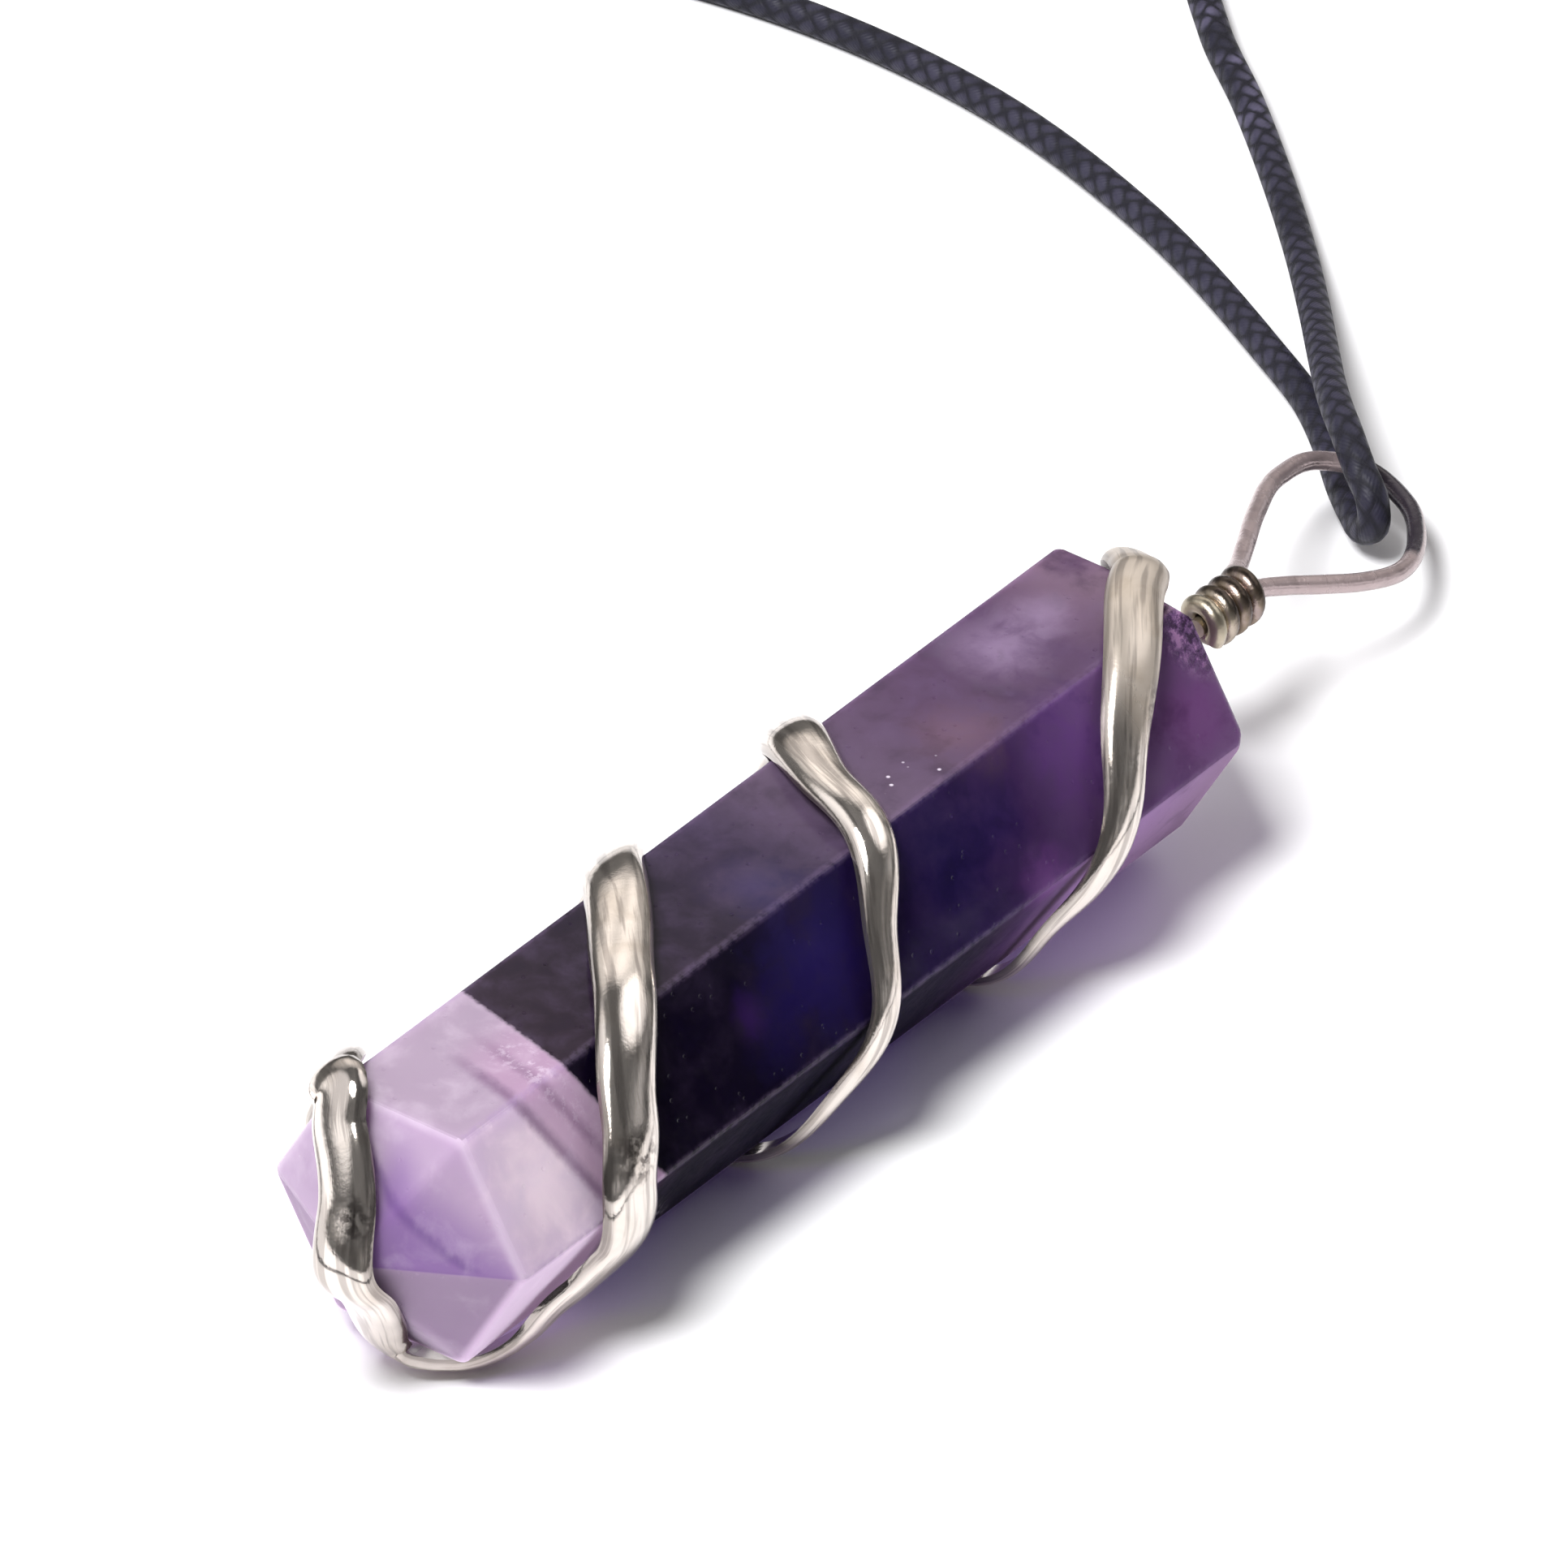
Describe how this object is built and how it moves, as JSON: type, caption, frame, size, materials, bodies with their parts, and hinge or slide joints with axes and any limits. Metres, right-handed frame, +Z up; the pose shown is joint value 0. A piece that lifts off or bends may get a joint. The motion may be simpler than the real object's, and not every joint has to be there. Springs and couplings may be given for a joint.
{
  "type": "crystal point pendant on a cord",
  "caption": "Double-ended six-sided stone point held in a spiral of half-round metal band, with a wrapped wire loop at its head on a thin waxed cord.",
  "frame": {"origin": "middle of the pendant's own box, on the surface that it lies on, with the cord left out", "axes": "+Z up from the surface, +X to the right and +Y away from someone who looks from the tip's side; the stone's long axis lies flat, 52.4 degrees from +X towards +Y, with the loop at the far end"},
  "size_m": [0.0688, 0.1126, 0.0122],
  "materials": {
    "stone": "polished, translucent, nearly clear and pale at the tip and dark violet in the middle",
    "band": "polished warm silver",
    "wire": "bright silver-plated wire, brassy between the turns of its wrap",
    "cord": "braided and waxed, bluish black"
  },
  "bodies": {
    "root": {"crystal_point": "stone", "spiral_cage": "band", "bail_loop": "wire", "cord": "cord", "cord_knot": "cord"}
  },
  "joints": []
}
